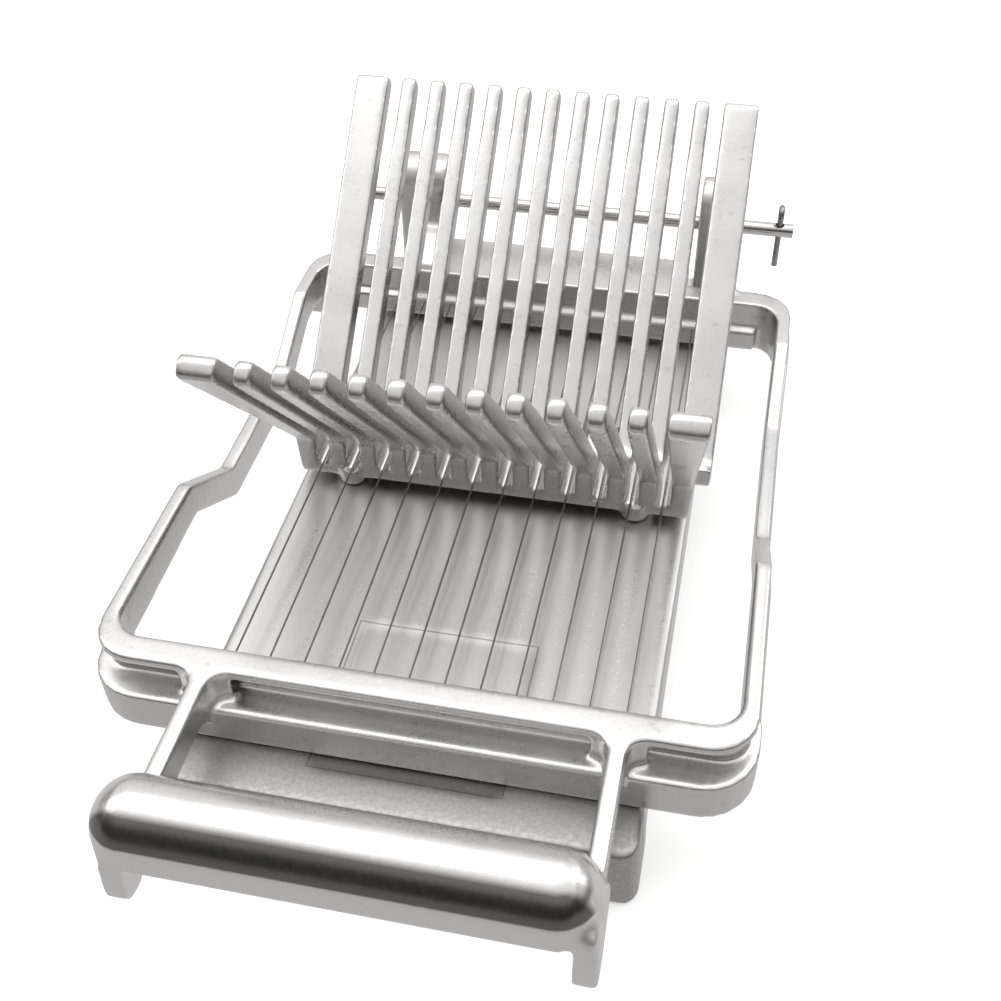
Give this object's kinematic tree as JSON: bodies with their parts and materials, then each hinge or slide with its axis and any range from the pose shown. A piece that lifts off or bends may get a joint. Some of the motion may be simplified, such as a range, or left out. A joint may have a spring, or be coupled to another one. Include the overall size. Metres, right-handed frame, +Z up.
{
  "type": "egg slicer",
  "caption": "Cast-metal egg slicer: a V-shaped comb cradle on a flat bed and a hinged wire frame with a domed grip that swings down through the comb.",
  "frame": {"origin": "centre of the footprint on the table", "axes": "+X to the user's right along the hinge, +Y from the handle to the hinge, +Z up; wire frame closed"},
  "size_m": [0.144, 0.2393, 0.0875],
  "materials": {
    "cast_aluminium": "bright cast, tumbled",
    "satin_aluminium": "satin cast",
    "stainless_wire": "drawn",
    "bright_steel": "bright",
    "dark_steel": "dark oxidised"
  },
  "bodies": {
    "base": {"base_bed": "satin_aluminium", "comb_cradle": "cast_aluminium", "hinge_rod": "bright_steel", "cotter_pin": "dark_steel", "cradle_screw_front_left": "bright_steel", "cradle_screw_front_right": "bright_steel", "cradle_screw_rear_left": "bright_steel", "cradle_screw_rear_right": "bright_steel"},
    "moving_frame": {"wire_frame": "cast_aluminium", "wire_01": "stainless_wire", "wire_02": "stainless_wire", "wire_03": "stainless_wire", "wire_04": "stainless_wire", "wire_05": "stainless_wire", "wire_06": "stainless_wire", "wire_07": "stainless_wire", "wire_08": "stainless_wire", "wire_09": "stainless_wire", "wire_10": "stainless_wire", "wire_11": "stainless_wire", "wire_12": "stainless_wire"}
  },
  "joints": [
    {"name": "frame_hinge", "type": "hinge", "parent": "base", "child": "moving_frame", "pos_m": [0, 0.10972, 0.0416], "axis": [-1, 0, 0], "range_deg": [0, 100]}
  ]
}
